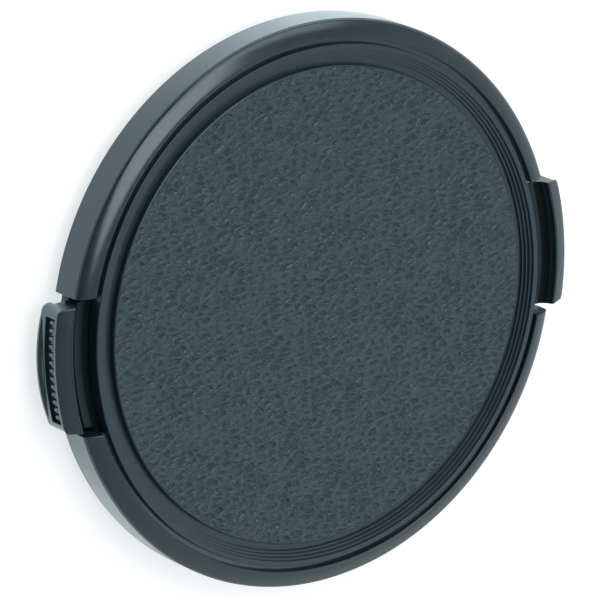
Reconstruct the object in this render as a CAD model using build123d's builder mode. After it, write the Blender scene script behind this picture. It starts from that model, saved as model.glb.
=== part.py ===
import os
from math import asin, cos, degrees, sin, sqrt, tau

from build123d import *

os.makedirs("parts", exist_ok=True)

# A side-pinch lens cap lying on its back, front face up, in millimetres.
# The axis of the cap is Z, the two pinch latches slide along X.

# Filter thread of the lens that the cap snaps into
thread_diameter = 72.0
thread_pitch = 0.75
thread_depth = 0.45
thread_gap = 0.1

# Clearances
slide_clearance = 0.15
side_clearance = 0.2
stop_clearance = 0.1
window_clearance = 0.3
press_clearance = 0.03
spring_clearance = 0.1
pinch_clearance = 0.25

# Overall body
rim_overhang = 2.0
cap_thickness = 5.8
front_wall = 1.9
rear_plate_thickness = 1.5
rim_wall = 2.0
rim_skirt = 1.15

# Front face, from the rim inwards: rolled band, groove, flat ring, fine steps and grain disc
band_width = 2.45
band_drop = 1.5
band_runs = 4
groove_width = 0.65
groove_depth = 0.8
ring_width = 0.72
step_width = 0.385
step_count = 4
trench_width = 1.025
trench_drop = 1.34
grain_drop = 0.48
grain_edge_break = 0.22

# Pinch latches
latch_travel = 2.0
latch_width = 30.0
slide_length = 10.9
slot_gap = 0.7
tab_width = 17.0
tab_end_draft = 0.3
tab_corner_round = 0.85
tab_seat_gap = 0.7
tab_face_width = 2.15
tab_face_inner_drop = 0.22
tab_face_outer_drop = 1.33
ramp_width = 1.17
ramp_hollow = 0.33

# Ribbed finger recess and rear lip of each tab
recess_depth = 0.6
recess_front_frame = 0.44
recess_rear_frame = 1.25
recess_end_frame = 1.1
rib_count = 13
rib_radius = 0.38
rib_end_gap = 0.74
rib_rear_gap = 0.6
lip_reach = 0.5
lip_height = 0.45
lip_end_gap = 1.0

# Thread arcs of the latches, behind the rear plate
arc_wall = 1.2
arc_inset = 1.1
arc_end_gap = 0.5
tooth_count = 2
tooth_gap = 0.3
tooth_lead_in = 0.4
arc_floor_gap = 0.2

# Locating ring that enters the lens
boss_wall = 1.2
boss_clearance = 0.5
boss_lead_in = 0.3

# Return springs, two behind each latch
spring_wire = 0.3
spring_wire_sides = 4
spring_turns = 6
spring_runs_per_turn = 6
spring_offset = 9.5
spring_room = 0.25
spring_pocket_gap = 0.2
spring_seat_wall = 0.9
spring_peg_length = 1.5
spring_peg_fill = 0.7

# Walls inside the front cover that guide the latches, and stakes that hold the rear plate
guide_wall = 1.3
stop_wall = 1.5
stop_gap = 1.5
stake_radius = 1.25
stake_depth = 1.0
stake_sides = 6
stake_circle_radius = 26.0
stake_count = 2
stake_spread = 64.0

# Heights, from the surface that the cap lies on
arc_bottom = arc_floor_gap
tooth_bottom = arc_bottom + tooth_lead_in
tooth_top = tooth_bottom + tooth_count * thread_pitch
seat_z = tooth_top + tooth_gap
top_z = seat_z + cap_thickness
cover_underside = top_z - front_wall
plate_top = seat_z + rear_plate_thickness
slide_bottom = plate_top + slide_clearance
slide_top = cover_underside - slide_clearance
slide_middle = (slide_bottom + slide_top) / 2
grain_top = top_z - grain_drop
trench_floor = top_z - trench_drop
step_rise = trench_drop / step_count
band_foot = top_z - band_drop
face_inner_z = top_z - tab_face_inner_drop
face_outer_z = top_z - tab_face_outer_drop
tab_bottom = seat_z + tab_seat_gap
recess_top = face_outer_z - recess_front_frame
recess_bottom = tab_bottom + recess_rear_frame
rib_bottom = recess_bottom + rib_rear_gap

# Radii of the front cover, from the rim inwards
rim_radius = thread_diameter / 2 + rim_overhang
pocket_radius = rim_radius - rim_skirt
cavity_radius = rim_radius - rim_wall
band_inner_radius = rim_radius - band_width
ring_outer_radius = band_inner_radius - groove_width
ring_inner_radius = ring_outer_radius - ring_width
grain_radius = ring_inner_radius - (step_count - 1) * step_width - trench_width

# Radii of the rear plate
rear_plate_radius = pocket_radius - press_clearance
boss_radius = thread_diameter / 2 - thread_depth - boss_clearance

# Radii of the latches in their released place
shoulder_radius = cavity_radius - stop_clearance
ramp_foot_radius = ring_outer_radius + latch_travel + stop_clearance
face_inner_radius = ramp_foot_radius + ramp_width
tab_outer_radius = face_inner_radius + tab_face_width
skirt_inner_radius = rear_plate_radius + latch_travel + pinch_clearance
recess_floor_radius = tab_outer_radius - recess_depth
tooth_crest_radius = thread_diameter / 2 - thread_gap
tooth_root_radius = tooth_crest_radius - thread_depth
arc_outer_radius = tooth_crest_radius - arc_inset
arc_inner_radius = arc_outer_radius - arc_wall

# Widths across the slide
slot_width = tab_width + 2 * slot_gap
tab_end_width = tab_width - 2 * tab_end_draft
recess_width = tab_end_width - 2 * recess_end_frame
rib_spread_width = recess_width - 2 * rib_end_gap
lip_width = tab_end_width - 2 * lip_end_gap
arc_width = latch_width - 2 * arc_end_gap
guide_inner_y = latch_width / 2 + side_clearance
guide_outer_y = guide_inner_y + guide_wall

# Springs and their places along the slide
spring_diameter = cover_underside - plate_top - 2 * spring_room
coil_radius = (spring_diameter - spring_wire) / 2
spring_pocket_width = spring_diameter + 2 * spring_pocket_gap
spring_peg_size = spring_peg_fill * (spring_diameter - 2 * spring_wire) / sqrt(2)
spring_pocket_edge = spring_offset + spring_pocket_width / 2
spring_seat_x = sqrt(arc_inner_radius**2 - spring_pocket_edge**2) - spring_seat_wall
slide_inner_x = shoulder_radius - slide_length
stop_face_x = slide_inner_x - latch_travel - stop_gap
spring_start = stop_face_x + spring_clearance + spring_wire / 2
spring_length = spring_seat_x - spring_clearance - spring_wire / 2 - spring_start
spring_runs = spring_turns * spring_runs_per_turn


def chord_angle(width, radius):
    return degrees(2 * asin(width / 2 / radius))


def turned_section(angle):
    return Plane.XZ.rotated((0, 0, -angle / 2))


# Rolled band of the rim: a quarter of an ellipse in straight runs, from the rim wall to the front
rolled_band = [
    (
        band_inner_radius + band_width * cos(tau / 4 * run / band_runs),
        band_foot + band_drop * sin(tau / 4 * run / band_runs),
    )
    for run in range(band_runs + 1)
]

# Front cover: grain disc, stepped ring, rim and the walls behind them, moulded in one
with BuildPart() as front_cover:
    with BuildSketch(Plane.XZ):
        with BuildLine():
            Polyline(
                (0, grain_top),
                (0, cover_underside),
                (cavity_radius, cover_underside),
                (cavity_radius, plate_top),
                (pocket_radius, plate_top),
                (pocket_radius, seat_z),
                (rim_radius, seat_z),
                *rolled_band,
                (band_inner_radius, top_z - groove_depth),
                (ring_outer_radius, top_z - groove_depth),
                (ring_outer_radius, top_z),
                (ring_inner_radius, top_z),
            )
            for step in range(step_count):
                step_radius = ring_inner_radius - step * step_width
                step_foot = top_z - (step + 1) * step_rise
                last = step == step_count - 1
                next_radius = grain_radius if last else step_radius - step_width
                Polyline(
                    (step_radius, step_foot + step_rise),
                    (step_radius, step_foot),
                    (next_radius, step_foot),
                )
            Polyline(
                (grain_radius, trench_floor),
                (grain_radius, grain_top - grain_edge_break),
                (grain_radius - grain_edge_break, grain_top),
                (0, grain_top),
            )
        make_face()
    revolve(axis=Axis.Z)
    # Slots for the two tabs, cut through the rim but not into the ring
    with BuildSketch(Plane.XY.offset(seat_z)):
        Rectangle(3 * rim_radius, slot_width)
        Circle(ring_outer_radius, mode=Mode.SUBTRACT)
    extrude(amount=cap_thickness, mode=Mode.SUBTRACT)
    # Guide walls beside each latch and the stop wall that its springs push from
    with BuildSketch(Plane.XY.offset(plate_top)):
        with PolarLocations(0, 2):
            with Locations((stop_face_x, 0)):
                Rectangle(stop_wall, 2 * guide_outer_y, align=(Align.MAX, Align.CENTER))
            with Locations((stop_face_x, guide_inner_y)):
                Rectangle(cavity_radius, guide_wall, align=(Align.MIN, Align.MIN))
            with Locations((stop_face_x, -guide_inner_y)):
                Rectangle(cavity_radius, guide_wall, align=(Align.MIN, Align.MAX))
        Circle(cavity_radius, mode=Mode.INTERSECT)
    extrude(amount=cover_underside - plate_top)
    # Pegs that keep the springs in line
    for turn in (0, 180):
        with BuildSketch(Plane.YZ.rotated((0, 0, turn)).offset(stop_face_x)):
            with Locations((spring_offset, slide_middle), (-spring_offset, slide_middle)):
                Rectangle(spring_peg_size, spring_peg_size)
        extrude(amount=spring_peg_length)
    # Stakes that are pressed into the rear plate
    for stake_middle in (90, 270):
        stake_start = stake_middle - stake_spread / 2
        with BuildSketch(Plane.XY.offset(plate_top - stake_depth)):
            with PolarLocations(
                stake_circle_radius, stake_count, stake_start, stake_spread, endpoint=True
            ):
                RegularPolygon(stake_radius, stake_sides)
        extrude(amount=cover_underside - plate_top + stake_depth)

front_cover.part.label = "front_cover"
export_step(front_cover.part, "parts/front_cover.step")

# Window in the rear plate that a thread arc passes and slides in
with BuildSketch() as arc_window:
    Circle(arc_outer_radius + window_clearance)
    with Locations((-latch_travel, 0)):
        Circle(arc_inner_radius - window_clearance, mode=Mode.SUBTRACT)
    with Locations((arc_outer_radius, 0)):
        Rectangle(
            arc_outer_radius, arc_width + 2 * window_clearance, mode=Mode.INTERSECT
        )

# Rear plate: closes the cover and carries the locating ring
with BuildPart() as rear_plate:
    with BuildSketch(Plane.XY.offset(seat_z)):
        Circle(rear_plate_radius)
    extrude(amount=rear_plate_thickness)
    with BuildSketch():
        Circle(boss_radius)
        Circle(boss_radius - boss_wall, mode=Mode.SUBTRACT)
        Rectangle(3 * boss_radius, 2 * guide_outer_y, mode=Mode.SUBTRACT)
    extrude(amount=seat_z)
    boss_edges = rear_plate.edges().filter_by(GeomType.CIRCLE).group_by(Axis.Z)[0]
    chamfer(boss_edges.group_by(SortBy.RADIUS)[-1], length=boss_lead_in)
    with BuildSketch(Plane.XY.offset(seat_z)):
        with PolarLocations(0, 2):
            add(arc_window.sketch)
    extrude(amount=rear_plate_thickness, mode=Mode.SUBTRACT)
    for stake_middle in (90, 270):
        stake_start = stake_middle - stake_spread / 2
        with BuildSketch(Plane.XY.offset(plate_top)):
            with PolarLocations(
                stake_circle_radius, stake_count, stake_start, stake_spread, endpoint=True
            ):
                RegularPolygon(stake_radius + press_clearance, stake_sides)
        extrude(amount=-stake_depth - press_clearance, mode=Mode.SUBTRACT)

rear_plate.part.label = "rear_plate"
export_step(rear_plate.part, "parts/rear_plate.step")

# Thread arc that each latch carries below its slide
arc_angle = 1.5 * chord_angle(arc_width, arc_inner_radius)

with BuildPart() as thread_arc:
    with BuildSketch(turned_section(arc_angle)):
        with BuildLine():
            for tooth in range(tooth_count):
                tooth_z = tooth_top - tooth * thread_pitch
                Polyline(
                    (tooth_root_radius, tooth_z),
                    (tooth_crest_radius, tooth_z - thread_pitch / 2),
                    (tooth_root_radius, tooth_z - thread_pitch),
                )
            Polyline(
                (tooth_root_radius, tooth_bottom),
                (arc_outer_radius, arc_bottom),
                (arc_inner_radius, arc_bottom),
                (arc_inner_radius, slide_middle),
                (arc_outer_radius, slide_middle),
                (arc_outer_radius, tooth_top),
                (tooth_root_radius, tooth_top),
            )
        make_face()
    revolve(axis=Axis.Z, revolution_arc=arc_angle)
    with BuildSketch(Plane.XY.offset(arc_bottom)):
        Rectangle(3 * tooth_crest_radius, arc_width)
    extrude(amount=slide_middle - arc_bottom, mode=Mode.INTERSECT)

# Latch: finger tab, slide and thread arc, moulded in one and the same on both sides
tab_angle = 1.5 * chord_angle(tab_width, ramp_foot_radius)
recess_angle = chord_angle(recess_width, tab_outer_radius)
rib_spread = chord_angle(rib_spread_width, recess_floor_radius)
lip_end_x = sqrt(tab_outer_radius**2 - (lip_width / 2) ** 2)

with BuildPart() as latch:
    # Tab: turned section with a sloping front face and a hollow ramp down to the slide
    with BuildSketch(turned_section(tab_angle)):
        with BuildLine():
            SagittaArc(
                (ramp_foot_radius, slide_top), (face_inner_radius, face_inner_z), -ramp_hollow
            )
            Polyline(
                (face_inner_radius, face_inner_z),
                (tab_outer_radius, face_outer_z),
                (tab_outer_radius, tab_bottom),
                (skirt_inner_radius, tab_bottom),
                (skirt_inner_radius, slide_bottom),
                (ring_inner_radius, slide_bottom),
                (ring_inner_radius, slide_top),
                (ramp_foot_radius, slide_top),
            )
        make_face()
    revolve(axis=Axis.Z, revolution_arc=tab_angle)
    with BuildSketch(Plane.XY.offset(tab_bottom)):
        with BuildLine():
            Polyline(
                (slide_inner_x, tab_width / 2),
                (ramp_foot_radius, tab_width / 2),
                (tab_outer_radius, tab_end_width / 2),
                (tab_outer_radius, -tab_end_width / 2),
                (ramp_foot_radius, -tab_width / 2),
                (slide_inner_x, -tab_width / 2),
                close=True,
            )
        make_face()
    extrude(amount=top_z - tab_bottom, mode=Mode.INTERSECT)
    tab_corners = latch.edges().filter_by(Axis.Z).group_by(Axis.X)[-1]
    fillet(tab_corners, radius=tab_corner_round)
    # Finger recess with round ribs
    with BuildSketch(turned_section(recess_angle)):
        with Locations((recess_floor_radius, recess_bottom)):
            Rectangle(
                2 * recess_depth,
                recess_top - recess_bottom,
                align=(Align.MIN, Align.MIN),
            )
    revolve(axis=Axis.Z, revolution_arc=recess_angle, mode=Mode.SUBTRACT)
    with Locations((0, 0, rib_bottom)):
        with PolarLocations(
            recess_floor_radius, rib_count, -rib_spread / 2, rib_spread, endpoint=True
        ):
            Cylinder(
                rib_radius,
                recess_top - rib_bottom + recess_front_frame / 2,
                align=(Align.CENTER, Align.CENTER, Align.MIN),
            )
    # Lip along the rear edge, fading out towards its ends
    with BuildSketch(Plane.XY.offset(tab_bottom)):
        with BuildLine():
            ThreePointArc(
                (lip_end_x, -lip_width / 2),
                (tab_outer_radius + lip_reach, 0),
                (lip_end_x, lip_width / 2),
            )
            Polyline(
                (lip_end_x, lip_width / 2),
                (skirt_inner_radius, 0),
                (lip_end_x, -lip_width / 2),
            )
        make_face()
    extrude(amount=lip_height)
    # Slide with shoulders that stop behind the rim
    with BuildSketch(Plane.XY.offset(slide_bottom)):
        Circle(shoulder_radius)
        with Locations((slide_inner_x, 0)):
            Rectangle(
                shoulder_radius,
                latch_width,
                align=(Align.MIN, Align.CENTER),
                mode=Mode.INTERSECT,
            )
        with Locations((slide_inner_x, spring_offset), (slide_inner_x, -spring_offset)):
            Rectangle(
                spring_seat_x - slide_inner_x,
                spring_pocket_width,
                align=(Align.MIN, Align.CENTER),
                mode=Mode.SUBTRACT,
            )
    extrude(amount=slide_top - slide_bottom)
    add(thread_arc.part)

for side, turn in (("right", 0), ("left", 180)):
    latch_piece = latch.part.rotate(Axis.Z, turn)
    latch_piece.label = "latch_" + side
    export_step(latch_piece, "parts/latch_" + side + ".step")

# Return springs between the stop walls and the latches, coiled in short straight runs
with BuildPart() as spring:
    with BuildLine() as coil:
        Polyline(
            *[
                (
                    spring_start + spring_length * run / spring_runs,
                    spring_offset + coil_radius * cos(tau * run / spring_runs_per_turn),
                    slide_middle + coil_radius * sin(tau * run / spring_runs_per_turn),
                )
                for run in range(spring_runs + 1)
            ]
        )
    with BuildSketch(Plane(coil.line @ 0, z_dir=coil.line % 0)):
        RegularPolygon(spring_wire / 2, spring_wire_sides)
    sweep(path=coil.line, transition=Transition.RIGHT)

for side, turn, ends in (("right", 0, ("rear", "fore")), ("left", 180, ("fore", "rear"))):
    for end, shift in zip(ends, (0, -2 * spring_offset)):
        spring_piece = spring.part.translate((0, shift, 0)).rotate(Axis.Z, turn)
        spring_piece.label = "spring_" + side + "_" + end
        export_step(spring_piece, "parts/spring_" + side + "_" + end + ".step")
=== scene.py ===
import math
import random

import bmesh
import bpy
from mathutils import Matrix, Vector, noise


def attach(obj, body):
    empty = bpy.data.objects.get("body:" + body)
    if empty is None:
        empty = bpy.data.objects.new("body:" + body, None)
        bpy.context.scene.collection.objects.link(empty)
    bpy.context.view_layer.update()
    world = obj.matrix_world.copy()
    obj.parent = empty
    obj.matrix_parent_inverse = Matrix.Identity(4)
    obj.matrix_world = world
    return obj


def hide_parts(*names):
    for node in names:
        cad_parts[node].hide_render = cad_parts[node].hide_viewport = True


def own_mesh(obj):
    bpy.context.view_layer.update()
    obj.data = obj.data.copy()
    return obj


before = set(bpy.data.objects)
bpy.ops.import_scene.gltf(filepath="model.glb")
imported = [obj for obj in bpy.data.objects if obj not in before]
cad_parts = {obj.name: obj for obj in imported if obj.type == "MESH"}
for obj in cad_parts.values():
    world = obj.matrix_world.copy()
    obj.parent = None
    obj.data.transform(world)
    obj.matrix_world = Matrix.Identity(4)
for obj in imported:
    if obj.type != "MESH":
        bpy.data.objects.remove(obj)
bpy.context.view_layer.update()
mm = 0.001
scene = bpy.context.scene
print("frame loaded:", ", ".join(sorted(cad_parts)))


# small tools that every piece uses

def sectionLine(points, degrees=0, closed=True):
    bm = bmesh.new()
    verts = [bm.verts.new((r * mm, 0, z * mm)) for r, z in points]
    for first, second in zip(verts, verts[1:] + (verts[:1] if closed else [])):
        bm.edges.new((first, second))
    bmesh.ops.rotate(bm, cent=(0, 0, 0), verts=verts, matrix=Matrix.Rotation(math.radians(degrees), 3, "Z"))
    return bm


def turnOn(bm, geom, degrees, steps, merge=False):
    return bmesh.ops.spin(
        bm, geom=geom, cent=(0, 0, 0), axis=(0, 0, 1), dvec=(0, 0, 0),
        angle=math.radians(degrees), steps=steps, use_merge=merge,
    )["geom_last"]


def squareEnd(geom, halfWidth):
    # slides one end of a turned piece along its circles, on to a flat end face
    for v in [g for g in geom if isinstance(g, bmesh.types.BMVert)]:
        radius = math.hypot(v.co.x, v.co.y)
        y = halfWidth(abs(v.co.x))
        for again in range(4):
            y = halfWidth(math.sqrt(radius ** 2 - y ** 2))
        v.co.y = math.copysign(y, v.co.y)
        v.co.x = math.copysign(math.sqrt(radius ** 2 - y ** 2), v.co.x)


def closeEnds(bm):
    bmesh.ops.edgeloop_fill(bm, edges=[e for e in bm.edges if e.is_boundary])


def takeIn(bm, other):
    # one bmesh takes in the shell of another
    carrier = bpy.data.meshes.new("carrier")
    bmesh.ops.recalc_face_normals(other, faces=other.faces[:])
    other.to_mesh(carrier)
    other.free()
    bm.from_mesh(carrier)
    bpy.data.meshes.remove(carrier)


def block(bm, low, high):
    low, high = Vector(low) * mm, Vector(high) * mm
    made = bmesh.ops.create_cube(bm, size=1)["verts"]
    bmesh.ops.scale(bm, vec=high - low, verts=made)
    bmesh.ops.translate(bm, vec=(low + high) / 2, verts=made)


def weighEdges(bm, widthOf, widest, sharpAngle=24):
    # each sharp edge gets its own width, which the bevel modifier then uses
    layers = bm.edges.layers.float
    layer = layers.get("bevel_weight_edge") or layers.new("bevel_weight_edge")
    for e in bm.edges:
        if len(e.link_faces) == 2 and e.calc_face_angle(0) > math.radians(sharpAngle):
            e[layer] = widthOf((e.verts[0].co + e.verts[1].co) / 2 / mm, e) / widest


def makePiece(name, bm, materials, body, replaced=()):
    mesh = bpy.data.meshes.new(name)
    bm.to_mesh(mesh)
    bm.free()
    mesh.shade_smooth()
    for m in materials:
        mesh.materials.append(m)
    piece = bpy.data.objects.new(name, mesh)
    scene.collection.objects.link(piece)
    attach(piece, body)
    if replaced:
        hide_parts(*replaced)
    return piece


def roundEdges(piece, widest, segments=3):
    soft = piece.modifiers.new("edges", "BEVEL")
    soft.limit_method = "WEIGHT"
    soft.width = widest * mm
    soft.segments = segments
    soft.use_clamp_overlap = False
    soft.harden_normals = True


# finishes

def startMaterial(name):
    material = bpy.data.materials.new(name)
    material.use_nodes = True
    nodes, links = material.node_tree.nodes, material.node_tree.links
    return material, nodes, links, nodes["Principled BSDF"]


def objectPlace(nodes, links, stretch):
    mapping = nodes.new("ShaderNodeMapping")
    mapping.inputs["Scale"].default_value = stretch
    links.new(nodes.new("ShaderNodeTexCoord").outputs["Object"], mapping.inputs["Vector"])
    return mapping.outputs["Vector"]


def addNoise(nodes, links, size, detail=2.0, stretch=(1, 1, 1)):
    # noise on Object coordinates, size in millimetres
    texture = nodes.new("ShaderNodeTexNoise")
    texture.inputs["Scale"].default_value = 1 / (size * mm)
    texture.inputs["Detail"].default_value = detail
    links.new(objectPlace(nodes, links, stretch), texture.inputs["Vector"])
    return texture.outputs["Fac"]


def spread(nodes, links, source, low, high, fromLow=0.3, fromHigh=0.7):
    node = nodes.new("ShaderNodeMapRange")
    node.inputs["From Min"].default_value = fromLow
    node.inputs["From Max"].default_value = fromHigh
    node.inputs["To Min"].default_value = low
    node.inputs["To Max"].default_value = high
    links.new(source, node.inputs["Value"])
    return node.outputs["Result"]


def addTurning(nodes, links, pitch):
    # noise by the distance from the axis, as fine as the marks that turning leaves in a mould
    flat = nodes.new("ShaderNodeVectorMath")
    flat.operation = "MULTIPLY"
    flat.inputs[1].default_value = (1, 1, 0)
    links.new(nodes.new("ShaderNodeTexCoord").outputs["Object"], flat.inputs[0])
    reach = nodes.new("ShaderNodeVectorMath")
    reach.operation = "LENGTH"
    links.new(flat.outputs["Vector"], reach.inputs[0])
    texture = nodes.new("ShaderNodeTexNoise")
    texture.noise_dimensions = "1D"
    texture.inputs["Scale"].default_value = 1 / (pitch * mm)
    links.new(reach.outputs["Value"], texture.inputs["W"])
    return texture.outputs["Fac"]


def mixColours(nodes, links, source, first, second):
    node = nodes.new("ShaderNodeMix")
    node.data_type = "RGBA"
    node.inputs["A"].default_value = (*first, 1)
    node.inputs["B"].default_value = (*second, 1)
    links.new(source, node.inputs["Factor"])
    return node.outputs["Result"]


def addBump(nodes, links, source, depth, strength, under=None):
    node = nodes.new("ShaderNodeBump")
    node.inputs["Strength"].default_value = strength
    node.inputs["Distance"].default_value = depth * mm
    links.new(source, node.inputs["Height"])
    if under:
        links.new(under, node.inputs["Normal"])
    return node.outputs["Normal"]


def mouldedPlastic(name, look):
    # dark teal plastic: faint flow marks in the colour, uneven satin, turning marks, a fine spark-eroded skin
    material, nodes, links, shader = startMaterial(name)
    cloud = spread(nodes, links, addNoise(nodes, links, look["flowSize"], 3), 0, 1)
    links.new(mixColours(nodes, links, cloud, look["dark"], look["pale"]), shader.inputs["Base Color"])
    polish = addNoise(nodes, links, look["polishSize"], 3)
    links.new(spread(nodes, links, polish, *look["rough"]), shader.inputs["Roughness"])
    turned = addBump(nodes, links, addTurning(nodes, links, look["turnPitch"]), look["turnDepth"], 1.0)
    skin = addBump(nodes, links, addNoise(nodes, links, look["skinSize"], 2), look["skinDepth"], 1.0, turned)
    links.new(skin, shader.inputs["Normal"])
    shader.inputs["IOR"].default_value = look["index"]
    shader.inputs["Specular Tint"].default_value = (*glossTint, 1)
    return material


glossTint = (0.82, 0.98, 1.0)
tabSkin = dict(flowSize=5, turnPitch=0.14, turnDepth=0.0004, skinSize=0.14, skinDepth=0.0010)
finishes = dict(
    rim=dict(dark=(0.007, 0.013, 0.017), pale=(0.010, 0.018, 0.023), flowSize=9, polishSize=2.5,
             rough=(0.18, 0.24), index=1.6, turnPitch=0.09, turnDepth=0.0006, skinSize=0.16, skinDepth=0.0005),
    ring=dict(dark=(0.008, 0.017, 0.024), pale=(0.011, 0.022, 0.030), flowSize=7, polishSize=1.5,
              rough=(0.31, 0.38), index=1.5, turnPitch=0.12, turnDepth=0.0012, skinSize=0.14, skinDepth=0.0012),
    latch=dict(dark=(0.008, 0.015, 0.019), pale=(0.011, 0.019, 0.024), polishSize=1.6,
               rough=(0.24, 0.32), index=1.63, **tabSkin),
    # painted shade: the tab plastic made near black and dull on the slide, ramp and thread arc, which lie in
    # the slot's shade
    slide=dict(dark=(0.001, 0.002, 0.003), pale=(0.002, 0.004, 0.005), polishSize=1.6,
               rough=(0.55, 0.65), index=1.24, **tabSkin),
    # painted light: the tab plastic made paler and more reflective on the tab's outer walls, ribs and lip
    grip_painted_light=dict(dark=(0.012, 0.021, 0.026), pale=(0.016, 0.027, 0.033), polishSize=1.2,
              rough=(0.24, 0.32), index=1.9, **tabSkin),
    # painted shade: the tab plastic made darker and duller on the shelf at the foot of the ramp
    shelf_painted_shade=dict(dark=(0.004, 0.008, 0.011), pale=(0.006, 0.011, 0.014), polishSize=1.6,
               rough=(0.34, 0.42), index=1.37, **tabSkin),
    edge=dict(dark=(0.008, 0.018, 0.024), pale=(0.012, 0.024, 0.031), flowSize=4, polishSize=0.9,
              rough=(0.24, 0.30), index=1.5, turnPitch=0.12, turnDepth=0.0004, skinSize=0.14, skinDepth=0.0008),
    rear=dict(dark=(0.010, 0.016, 0.020), pale=(0.015, 0.023, 0.028), flowSize=12, polishSize=1.2,
              rough=(0.48, 0.60), index=1.5, turnPitch=0.3, turnDepth=0.0010, skinSize=0.22, skinDepth=0.006),
)
plastic = {name: mouldedPlastic("plastic_" + name, look) for name, look in finishes.items()}

# the island and web colours paint shade into the sunken islands and light onto the raised web
grainLook = dict(
    island_painted_shade=(0.001, 0.010, 0.014), web_painted_light=(0.014, 0.033, 0.040), webShare=0.25, fade=0.13,
    rough=(0.26, 0.37), polishSize=0.8, index=1.5,
    stretch=(0.72, 1.28, 1), cell=1.30, drifts=((0.9, 0.75), (0.35, 0.25)), patchSize=2.8, border=(0.02, 0.30),
    crest=-0.04, flank=0.20, ridgeDepth=0.13, skinSize=0.34, skinShare=0.5,
)


def calculate(nodes, links, operation, *values):
    node = nodes.new("ShaderNodeMath")
    node.operation = operation
    for socket, value in zip(node.inputs, values):
        if isinstance(value, (int, float)):
            socket.default_value = value
        else:
            links.new(value, socket)
    return node.outputs["Value"]


def pushed(nodes, links, place, size, by):
    # coordinates pushed about by noise
    drift = nodes.new("ShaderNodeTexNoise")
    drift.inputs["Scale"].default_value = 1 / (size * mm)
    links.new(place, drift.inputs["Vector"])
    moved = nodes.new("ShaderNodeVectorMath")
    moved.operation = "MULTIPLY_ADD"
    moved.inputs[1].default_value = (by * mm,) * 3
    links.new(drift.outputs["Color"], moved.inputs[0])
    links.new(place, moved.inputs[2])
    return moved.outputs["Vector"]


def borderDistance(nodes, links, look):
    # how far a spot is inside its island; islands differ in size and fade out in patches
    place = objectPlace(nodes, links, look["stretch"])
    for size, by in look["drifts"]:
        place = pushed(nodes, links, place, size, by)
    cells = nodes.new("ShaderNodeTexVoronoi")
    cells.voronoi_dimensions = "2D"
    cells.feature = "DISTANCE_TO_EDGE"
    cells.inputs["Scale"].default_value = 1 / (look["cell"] * mm)
    links.new(place, cells.inputs["Vector"])
    border = spread(nodes, links, addNoise(nodes, links, look["patchSize"], 2), *look["border"])
    return calculate(nodes, links, "SUBTRACT", cells.outputs["Distance"], border)


def grainedPlastic(look):
    # painted shade darkens the sunken islands and painted light brightens the paler raised web; the mesh
    # carries the broad relief and its share of this painted colour
    material, nodes, links, shader = startMaterial("plastic_grained")
    web_painted_light = nodes.new("ShaderNodeAttribute")
    web_painted_light.attribute_name = "web_painted_light"
    inside = borderDistance(nodes, links, look)
    paintedShading = calculate(nodes, links, "MULTIPLY_ADD", web_painted_light.outputs["Fac"], look["webShare"],
                     spread(nodes, links, inside, 1 - look["webShare"], 0, 0, look["fade"]))
    links.new(mixColours(nodes, links, paintedShading, look["island_painted_shade"], look["web_painted_light"]), shader.inputs["Base Color"])
    polish = addNoise(nodes, links, look["polishSize"], 2)
    links.new(spread(nodes, links, polish, *look["rough"]), shader.inputs["Roughness"])
    ridge = spread(nodes, links, inside, 1, 0, look["crest"], look["flank"])
    skin = addNoise(nodes, links, look["skinSize"], 2, look["stretch"])
    height = calculate(nodes, links, "MULTIPLY_ADD", skin, look["skinShare"], ridge)
    links.new(addBump(nodes, links, height, look["ridgeDepth"], 1.0), shader.inputs["Normal"])
    shader.inputs["IOR"].default_value = look["index"]
    shader.inputs["Specular Tint"].default_value = (*glossTint, 1)
    return material


wireLook = dict(dark=(0.42, 0.42, 0.41), pale=(0.62, 0.62, 0.60), rough=(0.24, 0.38),
                drawSize=0.12, drawStretch=(1, 6, 6), drawDepth=0.002)


def drawnWire(look):
    material, nodes, links, shader = startMaterial("spring_wire")
    lines = addNoise(nodes, links, look["drawSize"], 3, look["drawStretch"])
    links.new(mixColours(nodes, links, lines, look["dark"], look["pale"]), shader.inputs["Base Color"])
    links.new(spread(nodes, links, lines, *look["rough"]), shader.inputs["Roughness"])
    links.new(addBump(nodes, links, lines, look["drawDepth"], 1.0), shader.inputs["Normal"])
    shader.inputs["Metallic"].default_value = 1.0
    return material


print("finishes made")

# front cover: turned core with the fine steps, two rim arcs, walls behind

cover = dict(
    top=8.2, underside=6.3, plateTop=3.9, seat=2.4,
    rimRadius=38.0, pocketRadius=36.85, cavityRadius=36.0, bandInner=35.55, bandRuns=24, ledge=0.05,
    bandSlopes=((0, 2), (0.19, 14), (0.37, 21), (0.55, 26), (0.75, 32), (0.90, 40), (0.96, 60), (1, 78)),
    ringOuter=34.9, ringInner=34.18, grooveFloor=7.4, stepWidth=0.385, stepCount=4, trench=6.86,
    discRadius=31.98, discTop=7.69, overlap=0.3, slotHalf=9.2, coreSteps=288, arcStart=17, arcSweep=146,
    edge=0.07, ringEdge=0.14, stepEdge=0.03, bandEdge=0.14, slotEdge=0.14, slotInside=0.03, wallEdge=0.05,
    ledgeFall=0.4, wallFrom=37.0, rootIn=0.2, wallIn=0.1,
    guideInner=15.2, guideOuter=16.5, stopFace=21.5, stopWall=1.5,
    pegSide=0.32, pegLength=1.5, springOffset=9.5, springMiddle=5.1,
    stakeRadius=1.25, stakeCircle=26.0, stakeSpread=32.0, stakeBottom=2.9, stakeSides=6,
)


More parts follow.
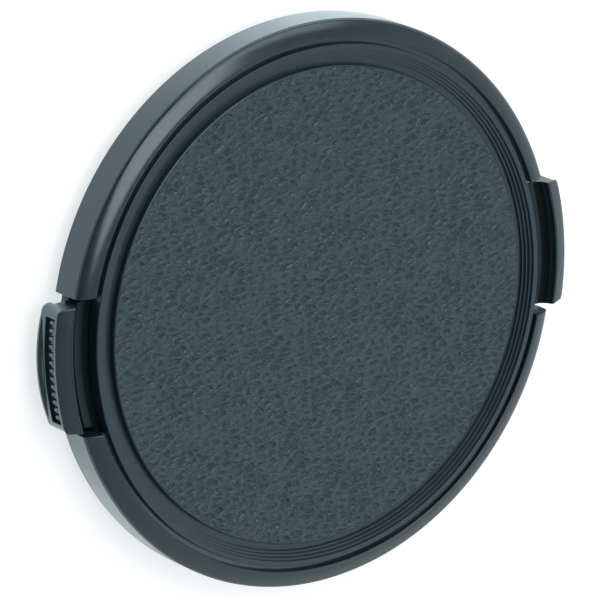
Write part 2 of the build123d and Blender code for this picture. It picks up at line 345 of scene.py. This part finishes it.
def coverCore(c):
    points = [(0, c["underside"]), (c["ringOuter"], c["underside"]),
              (c["ringOuter"], c["top"]), (c["ringInner"], c["top"])]
    rise = (c["top"] - c["trench"]) / c["stepCount"]
    for step in range(1, c["stepCount"]):
        radius, foot = c["ringInner"] - step * c["stepWidth"], c["top"] - step * rise
        points += [(radius + c["stepWidth"], foot), (radius, foot)]
    points += [(radius, c["trench"]), (c["discRadius"], c["trench"]),
               (c["discRadius"], c["discTop"]), (0, c["discTop"])]
    bm = sectionLine(points, closed=False)
    turnOn(bm, bm.verts[:] + bm.edges[:], 360, c["coreSteps"], merge=True)
    bmesh.ops.remove_doubles(bm, verts=bm.verts[:], dist=1e-6)
    bmesh.ops.recalc_face_normals(bm, faces=bm.faces[:])

    def width(at, e):
        radius = math.hypot(at.x, at.y)
        if radius > c["ringInner"] + 0.1 and at.z > c["grooveFloor"]:
            return c["ringEdge"]
        return c["stepEdge"]

    weighEdges(bm, width, c["bandEdge"])
    for f in bm.faces:
        f.material_index = 1
    return bm


def rimArc(c, side):
    # the band rolls over from the front to a narrow ledge on the rim wall; its slope grows from share to share
    width = c["rimRadius"] - c["ledge"] - c["bandInner"]
    runWidth = width / c["bandRuns"]
    band = [(c["bandInner"], c["top"])]
    for run in range(c["bandRuns"]):
        share, slope = (run + 0.5) / c["bandRuns"], 0
        for (low, lowSlope), (high, highSlope) in zip(c["bandSlopes"], c["bandSlopes"][1:]):
            if low <= share <= high:
                slope = lowSlope + (highSlope - lowSlope) * (share - low) / (high - low)
        radius, z = band[-1]
        band.append((radius + runWidth, z - runWidth * math.tan(math.radians(slope))))
    bandFoot = band[-1][1]
    band.append((c["rimRadius"], bandFoot - c["ledgeFall"] * c["ledge"]))
    band.reverse()
    inner = c["ringOuter"] - c["overlap"]
    points = [
        (inner, c["underside"]), (c["cavityRadius"], c["underside"]), (c["cavityRadius"], c["plateTop"]),
        (c["pocketRadius"], c["plateTop"]), (c["pocketRadius"], c["seat"]), (c["rimRadius"], c["seat"]),
        *band, (c["bandInner"], c["grooveFloor"]), (inner, c["grooveFloor"]),
    ]
    bm = sectionLine(points, c["arcStart"] * side)
    first = bm.verts[:]
    last = turnOn(bm, bm.verts[:] + bm.edges[:], c["arcSweep"] * side, c["arcSweep"])
    squareEnd(first, lambda x: c["slotHalf"] * mm)
    squareEnd(last, lambda x: c["slotHalf"] * mm)
    closeEnds(bm)
    bmesh.ops.recalc_face_normals(bm, faces=bm.faces[:])

    def softness(at, e):
        if abs(abs(at.y) - c["slotHalf"]) < 0.01:
            seen = at.z > c["grooveFloor"] - 0.1 or math.hypot(at.x, at.y) > c["wallFrom"]
            return c["slotEdge"] if seen else c["slotInside"]
        if at.z > c["top"] - 0.05:
            return c["bandEdge"]
        return c["ledge"] * c["ledgeFall"] if at.z > bandFoot - 0.1 else c["edge"]

    weighEdges(bm, softness, c["bandEdge"])
    return bm


def coverWalls(c):
    bm = bmesh.new()
    low, high = c["plateTop"], c["underside"] + c["rootIn"]
    reach = math.sqrt(c["cavityRadius"] ** 2 - c["guideOuter"] ** 2) + c["rootIn"]
    for side in (1, -1):
        stop = sorted((side * c["stopFace"], side * (c["stopFace"] - c["stopWall"])))
        block(bm, (stop[0], -c["guideOuter"], low), (stop[1], c["guideOuter"], high))
        for hand in (1, -1):
            along = sorted((side * (c["stopFace"] - c["wallIn"]), side * reach))
            across = sorted((hand * c["guideInner"], hand * c["guideOuter"]))
            block(bm, (along[0], across[0], low), (along[1], across[1], high))
            peg = sorted((side * (c["stopFace"] - c["wallIn"]), side * (c["stopFace"] + c["pegLength"])))
            y, z, half = hand * c["springOffset"], c["springMiddle"], c["pegSide"]
            block(bm, (peg[0], y - half, z - half), (peg[1], y + half, z + half))
            turned = math.radians(side * 90 + hand * c["stakeSpread"])
            stake = bmesh.ops.create_cone(
                bm, cap_ends=True, segments=c["stakeSides"], radius1=c["stakeRadius"] * mm,
                radius2=c["stakeRadius"] * mm, depth=(high - c["stakeBottom"]) * mm,
            )["verts"]
            bmesh.ops.translate(bm, verts=stake, vec=(
                c["stakeCircle"] * math.cos(turned) * mm, c["stakeCircle"] * math.sin(turned) * mm,
                (high + c["stakeBottom"]) / 2 * mm,
            ))
    weighEdges(bm, lambda at, e: c["wallEdge"], c["bandEdge"])
    for f in bm.faces:
        f.material_index = 1
    return bm


coverMesh = bmesh.new()
takeIn(coverMesh, coverCore(cover))
for side in (1, -1):
    takeIn(coverMesh, rimArc(cover, side))
takeIn(coverMesh, coverWalls(cover))
coverPiece = makePiece("cover_moulding", coverMesh, [plastic["rim"], plastic["ring"]],
                       "cap_body", ["front_cover"])
roundEdges(coverPiece, cover["bandEdge"])
print("front cover made")

# grained face of the cover: dimples between soft wrinkled ridges, then the rounded edge of the disc

grain = dict(
    seed=11, radius=31.62, base=7.72, pitch=0.20, jitter=0.05, rimMerge=0.06,
    stretch=(0.72, 1.28), cell=1.10, warps=((0.55, 0.40), (1.7, 0.22)), crest=0.02, dimple=0.40,
    webHeight=0.09, swell=0.75, swells=((0.6, 0.5), (1.9, 0.35)), swellRange=(0.15, 1.2),
    wrinkle=0.04, folds=((2.6, 1.0), (4.3, 0.6)), edgeWeb=0.6, edgeFrom=0.1,
    edgeRings=((31.78, 7.785), (31.88, 7.75), (31.955, 7.69), (32.0, 7.60), (32.015, 7.49), (32.015, 6.88)),
)


def webShare(g, at):
    # 1 on the ridge between two dimples, 0 in the middle of a dimple
    moved = at.copy()
    for often, by in g["warps"]:
        moved += noise.noise_vector(at * often) * by
    nearest, second, *others = noise.voronoi(moved / g["cell"])[0]
    s = min(max((second - nearest - g["crest"]) / (g["dimple"] - g["crest"]), 0), 1)
    return 1 - s * s * (3 - 2 * s)


def waves(at, parts, total=0.0):
    for often, by in parts:
        total += by * noise.noise(at * often)
    return total


def grainFace(g):
    dice = random.Random(g["seed"])
    # unseeded, the noise that pushes the cells about would start anew in each run
    noise.seed_set(g["seed"])
    bm = bmesh.new()
    runs = 2 * math.ceil(g["radius"] / g["pitch"])
    bmesh.ops.create_grid(bm, x_segments=runs, y_segments=runs, size=runs * g["pitch"] / 2 * mm)
    bmesh.ops.delete(bm, geom=[v for v in bm.verts if v.co.length > g["radius"] * mm], context="VERTS")
    bmesh.ops.delete(bm, geom=[v for v in bm.verts if not v.link_faces], context="VERTS")
    rim = [v for v in bm.verts if v.is_boundary]
    for v in rim:
        v.co = v.co.normalized() * g["radius"] * mm
    bmesh.ops.remove_doubles(bm, verts=rim, dist=g["rimMerge"] * mm)
    # this attribute paints the relief's light and shade into the colour: paler on the raised web, darker in the
    # dimples
    web_painted_light = bm.verts.layers.float.new("web_painted_light")
    lowest, highest = g["swellRange"]
    for v in bm.verts:
        if not v.is_boundary:
            v.co.xy += Vector((dice.uniform(-1, 1), dice.uniform(-1, 1))) * g["jitter"] * mm
        at = Vector((v.co.x * g["stretch"][0], v.co.y * g["stretch"][1], 0)) / mm
        share = webShare(g, at)
        swell = min(max(waves(at, g["swells"], g["swell"]), lowest), highest)
        v.co.z = (g["base"] + g["webHeight"] * share * swell + g["wrinkle"] * waves(at, g["folds"])) * mm
        v[web_painted_light] = share * swell
    edge = [e for e in bm.edges if e.is_boundary]
    for radius, z in g["edgeRings"]:
        made = bmesh.ops.extrude_edge_only(bm, edges=edge)["geom"]
        edge = [m for m in made if isinstance(m, bmesh.types.BMEdge)]
        for v in [m for m in made if isinstance(m, bmesh.types.BMVert)]:
            v.co.xy = v.co.xy.normalized() * radius * mm
            v.co.z = z * mm
            v[web_painted_light] = g["edgeWeb"]
    for f in bm.faces:
        f.material_index = int(min(v.co.xy.length for v in f.verts) > (g["radius"] + g["edgeFrom"]) * mm)
    bmesh.ops.recalc_face_normals(bm, faces=bm.faces[:])
    if sum(f.normal.z for f in bm.faces) < 0:
        bmesh.ops.reverse_faces(bm, faces=bm.faces[:])
    return bm


grainPiece = makePiece("grain_face", grainFace(grain), [grainedPlastic(grainLook), plastic["edge"]],
                       "cap_body")
print("grain made:", sum(len(p.vertices) - 2 for p in grainPiece.data.polygons), "triangles")

# latches: finger tab with ribbed recess and lip, slide with spring pockets, thread arc

latch = dict(
    travelFoot=37.0, slideInner=25.0, slideBottom=4.05, slideTop=6.15, coreRadius=34.18, sunk=0.03,
    faceInner=38.17, faceInnerZ=7.98, faceOuterZ=6.87, faceRound=0.45, crown=0.06, rampHollow=0.33,
    outer=40.32, bottom=3.1, skirt=39.07, footHalf=8.5, endHalf=8.2, sideTurn=4.0, corner=0.85,
    recessHalf=7.1, recessFloor=39.72, recessLow=4.35, recessHigh=6.43, recessRuns=26,
    ribs=13, ribSpan=12.72, ribRadius=0.38, ribLow=4.8, ribRoot=0.2, ribRound=0.26, ribSides=14,
    lipReach=0.5, lipHigh=3.55, lipHalf=7.2, lipWall=1.2, lipStep=0.08, lipFillet=0.42, lipRuns=36,
    shoulder=35.9, shoulderRuns=24, slideHalf=15.0, pocketHalf=1.15, pocketSeat=30.97, springOffset=9.5,
    arcOuter=34.8, arcInner=33.6, arcBottom=0.2, arcTop=5.1, arcHalf=14.5, arcTurn=23,
    toothRoot=35.45, toothCrest=35.9, toothTop=2.1, toothPitch=0.75, teeth=2,
    edge=0.12, fine=0.06, lipEdge=0.09, edgeGloss=0.25,
    finishes=("latch", "slide", "shelf_painted_shade", "grip_painted_light"),
)


def tabShell(t):
    # hollow ramp from the slide up to the front face, which is rounded at its inner edge and crowned
    foot = Vector((t["travelFoot"], t["slideTop"] - t["sunk"]))
    head = Vector((t["faceInner"], t["faceInnerZ"]))
    across = Vector((head.y - foot.y, foot.x - head.x)).normalized()
    ramp = []
    for run in range(1, 7):
        s = run / 8
        ramp.append(foot.lerp(head, s) + across * 4 * s * (1 - s) * t["rampHollow"])
    front = Vector((t["outer"], t["faceOuterZ"]))
    along = (front - head).normalized()
    soft = head + along * t["faceRound"]
    for run in range(1, 7):
        s = run / 6
        ramp.append(ramp[5].lerp(head, s).lerp(head.lerp(soft, s), s))
    for run in range(1, 6):
        s = run / 6
        ramp.append(soft.lerp(front, s) + Vector((-along.y, along.x)) * 4 * s * (1 - s) * t["crown"])
    points = [
        (t["coreRadius"], t["slideBottom"] + t["sunk"]), (t["coreRadius"], foot.y), tuple(foot),
        *(tuple(p) for p in ramp), tuple(front), (t["outer"], t["recessHigh"]), (t["outer"], t["recessLow"]),
        (t["outer"], t["bottom"]), (t["skirt"], t["bottom"]), (t["skirt"], t["slideBottom"] + t["sunk"]),
    ]
    recessTurn = math.degrees(math.asin(t["recessHalf"] / t["outer"]))
    bm = sectionLine(points, -recessTurn - t["sideTurn"])
    first = bm.verts[:]
    geom = turnOn(bm, bm.verts[:] + bm.edges[:], t["sideTurn"], 1)
    geom = turnOn(bm, geom, 2 * recessTurn, t["recessRuns"])
    last = turnOn(bm, geom, t["sideTurn"], 1)
    slope = (t["footHalf"] - t["endHalf"]) / (t["outer"] - t["travelFoot"])

    def halfWidth(x):
        return (t["footHalf"] - slope * max(x / mm - t["travelFoot"], 0)) * mm

    squareEnd(first, halfWidth)
    squareEnd(last, halfWidth)
    closeEnds(bm)
    bmesh.ops.recalc_face_normals(bm, faces=bm.faces[:])
    corners = []
    for e in bm.edges:
        at = (e.verts[0].co + e.verts[1].co) / 2 / mm
        upright = abs(e.verts[0].co.z - e.verts[1].co.z) > 0.3 * mm
        if upright and abs(at.y) > t["recessHalf"] + 0.5 and math.hypot(at.x, at.y) > t["outer"] - 0.2:
            corners.append(e)
    bmesh.ops.bevel(bm, geom=corners, offset=t["corner"] * mm, offset_type="OFFSET", affect="EDGES",
                    segments=7, profile=0.5, material=-1)
    wall = []
    for f in bm.faces:
        at = f.calc_center_median() / mm
        inWindow = abs(at.y) < t["recessHalf"] and t["recessLow"] < at.z < t["recessHigh"]
        if inWindow and math.hypot(at.x, at.y) > t["outer"] - 0.1:
            wall.append(f)
    sunk = bmesh.ops.extrude_face_region(bm, geom=wall)["geom"]
    bmesh.ops.delete(bm, geom=wall, context="FACES")
    share = t["recessFloor"] / t["outer"]
    floorVerts = [v for v in sunk if isinstance(v, bmesh.types.BMVert)]
    bmesh.ops.scale(bm, vec=(share, share, 1), verts=floorVerts)
    bmesh.ops.recalc_face_normals(bm, faces=bm.faces[:])

    def width(at, e):
        inRecess = abs(at.y) < t["recessHalf"] + 0.2 and t["recessLow"] - 0.1 < at.z < t["recessHigh"] + 0.1
        return t["fine"] if inRecess and math.hypot(at.x, at.y) > 38.8 else t["edge"]

    weighEdges(bm, width, t["edge"])
    return bm


def ribShell(t):
    bm = bmesh.new()
    length = t["recessHigh"] + t["ribRoot"] - t["ribLow"]
    span = math.asin(t["ribSpan"] / 2 / t["recessFloor"])
    for rib in range(t["ribs"]):
        bead = bmesh.new()
        bmesh.ops.create_cone(bead, cap_ends=True, segments=t["ribSides"], radius1=t["ribRadius"] * mm,
                              radius2=t["ribRadius"] * mm, depth=length * mm)
        rearEnd = [e for e in bead.edges if max(v.co.z for v in e.verts) < 0]
        bmesh.ops.bevel(bead, geom=rearEnd, offset=t["ribRound"] * mm, offset_type="OFFSET", affect="EDGES",
                        segments=4, profile=0.5, material=-1)
        turned = -span + 2 * span * rib / (t["ribs"] - 1)
        bmesh.ops.translate(bead, verts=bead.verts[:], vec=(
            t["recessFloor"] * math.cos(turned) * mm, t["recessFloor"] * math.sin(turned) * mm,
            (t["ribLow"] + length / 2) * mm))
        takeIn(bm, bead)
    return bm


def lipShell(t):
    end = math.sqrt(t["outer"] ** 2 - t["lipHalf"] ** 2)
    rise = t["outer"] + t["lipReach"] - end
    radius = (t["lipHalf"] ** 2 + rise ** 2) / (2 * rise)
    centre = t["outer"] + t["lipReach"] - radius
    sweep = math.degrees(math.asin(t["lipHalf"] / radius))
    points = [(radius - t["lipWall"], t["bottom"]), (radius, t["bottom"]), (radius, t["lipHigh"])]
    for degrees in range(0, 91, 18):
        turned = math.radians(degrees)
        points.append((radius - t["lipStep"] - t["lipFillet"] * math.sin(turned),
                       t["lipHigh"] + t["lipFillet"] * (1 - math.cos(turned))))
    points.append((radius - t["lipWall"], t["lipHigh"] + t["lipFillet"]))
    bm = sectionLine(points, -sweep)
    turnOn(bm, bm.verts[:] + bm.edges[:], 2 * sweep, t["lipRuns"])
    closeEnds(bm)
    bmesh.ops.translate(bm, verts=bm.verts[:], vec=(centre * mm, 0, 0))
    bmesh.ops.recalc_face_normals(bm, faces=bm.faces[:])
    weighEdges(bm, lambda at, e: t["lipEdge"], t["edge"])
    return bm


def slideShell(t):
    bm = bmesh.new()
    inner, seat = t["slideInner"], t["pocketSeat"]
    points = [(inner, -t["slideHalf"])]
    for y in (-t["springOffset"], t["springOffset"]):
        low, high = y - t["pocketHalf"], y + t["pocketHalf"]
        points += [(inner, low), (seat, low), (seat, high), (inner, high)]
    points.append((inner, t["slideHalf"]))
    sweep = math.asin(t["slideHalf"] / t["shoulder"])
    for run in range(t["shoulderRuns"] + 1):
        turned = sweep - 2 * sweep * run / t["shoulderRuns"]
        points.append((t["shoulder"] * math.cos(turned), t["shoulder"] * math.sin(turned)))
    sheet = bm.faces.new([bm.verts.new((x * mm, y * mm, t["slideBottom"] * mm)) for x, y in points])
    raised = bmesh.ops.extrude_face_region(bm, geom=[sheet])["geom"]
    bmesh.ops.translate(bm, verts=[v for v in raised if isinstance(v, bmesh.types.BMVert)],
                        vec=(0, 0, (t["slideTop"] - t["slideBottom"]) * mm))
    bmesh.ops.recalc_face_normals(bm, faces=bm.faces[:])
    weighEdges(bm, lambda at, e: t["fine"], t["edge"])
    return bm


def threadShell(t):
    points = []
    for tooth in range(t["teeth"]):
        z = t["toothTop"] - tooth * t["toothPitch"]
        points += [(t["toothRoot"], z), (t["toothCrest"], z - t["toothPitch"] / 2)]
    points += [
        (t["toothRoot"], t["toothTop"] - t["teeth"] * t["toothPitch"]), (t["arcOuter"], t["arcBottom"]),
        (t["arcInner"], t["arcBottom"]), (t["arcInner"], t["arcTop"]), (t["arcOuter"], t["arcTop"]),
        (t["arcOuter"], t["toothTop"]),
    ]
    bm = sectionLine(points, -t["arcTurn"])
    first = bm.verts[:]
    last = turnOn(bm, bm.verts[:] + bm.edges[:], 2 * t["arcTurn"], 2 * t["arcTurn"])
    squareEnd(first, lambda x: t["arcHalf"] * mm)
    squareEnd(last, lambda x: t["arcHalf"] * mm)
    closeEnds(bm)
    bmesh.ops.recalc_face_normals(bm, faces=bm.faces[:])
    weighEdges(bm, lambda at, e: t["fine"], t["edge"])
    return bm


def tabFinish(t, f):
    # glossy tab; painted light on its outer walls, where the plastic is paler and more reflective; painted
    # shade on the slide and ramp, where it is near black and dull, and a darker satin on the shelf between them
    reach = max(math.hypot(v.co.x, v.co.y) for v in f.verts) / mm
    height = max(v.co.z for v in f.verts) / mm
    if abs(f.normal.z) < 0.6 and reach > t["recessFloor"] - 0.1:
        return "grip_painted_light"
    if reach >= t["faceInner"] - t["edgeGloss"]:
        return "latch"
    onShelf = f.normal.z > 0.9 and abs(height - t["slideTop"] + t["sunk"]) < 0.01
    return "shelf_painted_shade" if onShelf else "slide"


for sideName, degrees in (("right", 0), ("left", 180)):
    latchMesh = bmesh.new()
    for shell in (tabShell, ribShell, lipShell, slideShell, threadShell):
        takeIn(latchMesh, shell(latch))
    bmesh.ops.rotate(latchMesh, cent=(0, 0, 0), verts=latchMesh.verts[:],
                     matrix=Matrix.Rotation(math.radians(degrees), 3, "Z"))
    for f in latchMesh.faces:
        f.material_index = latch["finishes"].index(tabFinish(latch, f))
    latchPiece = makePiece("tab_" + sideName, latchMesh, [plastic[n] for n in latch["finishes"]],
                           "latch_" + sideName, ["latch_" + sideName])
    roundEdges(latchPiece, latch["edge"])
print("latches made")

# return springs: round wire, coiled from the stop wall to the tab's pocket

coil = dict(start=21.75, length=8.97, turns=6, radius=0.8, wire=0.15, offset=9.5, middle=5.1, anchor=21.5,
            seat=30.97, travel=2.0, stepsPerTurn=20, wireSides=10)
wireMaterial = drawnWire(wireLook)


def coilMesh(c):
    bm = bmesh.new()
    bmesh.ops.create_circle(bm, cap_ends=False, segments=c["wireSides"], radius=c["wire"] * mm)
    bmesh.ops.rotate(bm, cent=(0, 0, 0), verts=bm.verts[:], matrix=Matrix.Rotation(math.radians(90), 3, "Y"))
    bmesh.ops.rotate(bm, cent=(0, 0, 0), verts=bm.verts[:], matrix=Matrix.Rotation(math.radians(90), 3, "Z"))
    bmesh.ops.translate(bm, verts=bm.verts[:], vec=(0, 0, c["radius"] * mm))
    steps = c["turns"] * c["stepsPerTurn"]
    bmesh.ops.spin(bm, geom=bm.verts[:] + bm.edges[:], cent=(0, 0, 0), axis=(1, 0, 0), use_merge=False,
                   dvec=(c["length"] / steps * mm, 0, 0), angle=2 * math.pi * c["turns"], steps=steps)
    closeEnds(bm)
    bmesh.ops.recalc_face_normals(bm, faces=bm.faces[:])
    return bm


for sideName, degrees, ends in (("right", 0, ("rear", "fore")), ("left", 180, ("fore", "rear"))):
    for end, y in zip(ends, (coil["offset"], -coil["offset"])):
        springMesh = coilMesh(coil)
        bmesh.ops.translate(springMesh, verts=springMesh.verts[:],
                            vec=(coil["start"] * mm, y * mm, coil["middle"] * mm))
        bmesh.ops.rotate(springMesh, cent=(0, 0, 0), verts=springMesh.verts[:],
                         matrix=Matrix.Rotation(math.radians(degrees), 3, "Z"))
        springPiece = makePiece("coil_" + sideName + "_" + end, springMesh, [wireMaterial], "cap_body",
                                ["spring_" + sideName + "_" + end])
        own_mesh(springPiece)
print("springs made")

# rear plate keeps its solid, with softer edges

rear = dict(weld=0.002, edge=0.08, sharpAngle=35, segments=2)
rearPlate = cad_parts["rear_plate"]
rearPlate.data.materials.clear()
rearPlate.data.materials.append(plastic["rear"])
weld = rearPlate.modifiers.new("weld", "WELD")
weld.merge_threshold = rear["weld"] * mm
smoothed = rearPlate.modifiers.new("edges", "BEVEL")
smoothed.limit_method = "ANGLE"
smoothed.angle_limit = math.radians(rear["sharpAngle"])
smoothed.width = rear["edge"] * mm
smoothed.segments = rear["segments"]
smoothed.harden_normals = True
print("rear plate dressed")

# camera: the photograph's view of the cap, which lies on its back here

lens = dict(back=(-0.5296, 0.3208, 0.7852), up=(0.2213, 0.9459, -0.2372), distance=0.9332, focal=432.2,
            aside=-2.837, raised=0.912, target=8.2)
back = Vector(lens["back"]).normalized()
right = Vector(lens["up"]).cross(back).normalized()
up = back.cross(right)
eye = Vector((0, 0, lens["target"] * mm)) + back * lens["distance"]
eye += right * lens["aside"] * mm + up * lens["raised"] * mm
camera = bpy.data.objects.new("camera", bpy.data.cameras.new("camera"))
camera.data.lens = lens["focal"]
camera.data.sensor_width = 36
camera.data.clip_start, camera.data.clip_end = 0.05, 20
camera.matrix_world = Matrix.Translation(eye) @ Matrix((right, up, back)).transposed().to_4x4()
scene.collection.objects.link(camera)
scene.camera = camera

# stage: pale floor, plain soft light

stage = dict(
    floorSize=6.0, floorColour=0.35, glowColour=(0.97, 1.0, 1.01), glow=0.72,
    nearSide=(-0.855, 0.518, 0.0), glossRise=(0.48, 1.75, -0.004, 0.017), glossFall=(1.0, 0.64, 0.024, 0.039),
    leftSide=(0.518, 0.855, 0.0), glossLean=(0.76, 1.15, -0.04, 0.04),
    glossColours=((0.86, 1.0, 1.01), (0.83, 1.0, 1.09)), glossTurn=(-0.036, -0.014),
    paleSide=(0.643, -0.766, 0.0), roomColour=(0.95, 1.0, 1.02), roomLight=(0.20, 1.10, -0.4, 1.0),
)
softboxes = (
    dict(name="key", azimuth=101, elevation=65, distance=0.8, size=(0.60, 0.60), power=4.3),
    dict(name="side", azimuth=70, elevation=29, distance=0.8, size=(0.72, 0.44), power=2.2),
    dict(name="far", azimuth=-39, elevation=44.5, distance=0.343, size=(0.14, 0.14), power=0.058),
)


def dotWith(nodes, links, coordinates, direction):
    node = nodes.new("ShaderNodeVectorMath")
    node.operation = "DOT_PRODUCT"
    node.inputs[1].default_value = direction
    links.new(nodes.new("ShaderNodeTexCoord").outputs[coordinates], node.inputs[0])
    return node.outputs["Value"]


def paleFloor(s):
    # matt paint that is white to the camera; in reflections it glows with painted light, which falls off over
    # it and turns bluer to one side
    material, nodes, links = startMaterial("floor")[:3]
    nodes.clear()
    paint = nodes.new("ShaderNodeBsdfDiffuse")
    paint.inputs["Color"].default_value = (s["floorColour"],) * 3 + (1,)
    path = nodes.new("ShaderNodeLightPath").outputs
    near = dotWith(nodes, links, "Object", s["nearSide"])
    # painted light: the glow that reflections see rises and falls across the floor and leans to one side
    gloss = calculate(nodes, links, "MULTIPLY", spread(nodes, links, near, *s["glossRise"]),
                      spread(nodes, links, near, *s["glossFall"]))
    left = dotWith(nodes, links, "Object", s["leftSide"])
    gloss = calculate(nodes, links, "MULTIPLY", gloss, spread(nodes, links, left, *s["glossLean"]))
    tint = mixColours(nodes, links, spread(nodes, links, left, 0, 1, *s["glossTurn"]), *s["glossColours"])
    mirrored = calculate(nodes, links, "ADD", path["Is Glossy Ray"], path["Is Transmission Ray"])
    shader = paint.outputs["BSDF"]
    for colour, ray, strength in ((None, path["Is Camera Ray"], s["glow"]), (tint, mirrored, gloss)):
        lift = nodes.new("ShaderNodeEmission")
        lift.inputs["Color"].default_value = (*s["glowColour"], 1)
        if colour:
            links.new(colour, lift.inputs["Color"])
        links.new(calculate(nodes, links, "MULTIPLY", ray, strength), lift.inputs["Strength"])
        both = nodes.new("ShaderNodeAddShader")
        links.new(shader, both.inputs[0])
        links.new(lift.outputs["Emission"], both.inputs[1])
        shader = both.outputs["Shader"]
    end = nodes.new("ShaderNodeOutputMaterial")
    links.new(shader, end.inputs["Surface"])
    return material


floorMesh = bmesh.new()
bmesh.ops.create_grid(floorMesh, x_segments=1, y_segments=1, size=stage["floorSize"] / 2)
floorData = bpy.data.meshes.new("floor")
floorMesh.to_mesh(floorData)
floorMesh.free()
floorData.materials.append(paleFloor(stage))
floor = bpy.data.objects.new("floor", floorData)
scene.collection.objects.link(floor)

for box in softboxes:
    lamp = bpy.data.lights.new(box["name"], "AREA")
    lamp.shape = "RECTANGLE"
    lamp.size, lamp.size_y = box["size"]
    lamp.energy = box["power"]
    holder = bpy.data.objects.new(box["name"], lamp)
    turned, raised = math.radians(box["azimuth"]), math.radians(box["elevation"])
    level = math.cos(raised)
    towards = Vector((math.cos(turned) * level, math.sin(turned) * level, math.sin(raised)))
    holder.location = towards * box["distance"]
    holder.rotation_euler = towards.to_track_quat("Z", "Y").to_euler()
    scene.collection.objects.link(holder)

world = bpy.data.worlds.new("studio")
world.use_nodes = True
nodes, links = world.node_tree.nodes, world.node_tree.links
nodes["Background"].inputs["Color"].default_value = (*stage["roomColour"], 1)
# the room is pale behind the cap, dim behind the camera
across = dotWith(nodes, links, "Generated", stage["paleSide"])
links.new(spread(nodes, links, across, *stage["roomLight"]), nodes["Background"].inputs["Strength"])
scene.world = world
scene.view_settings.view_transform = "Standard"
print("camera and light set")
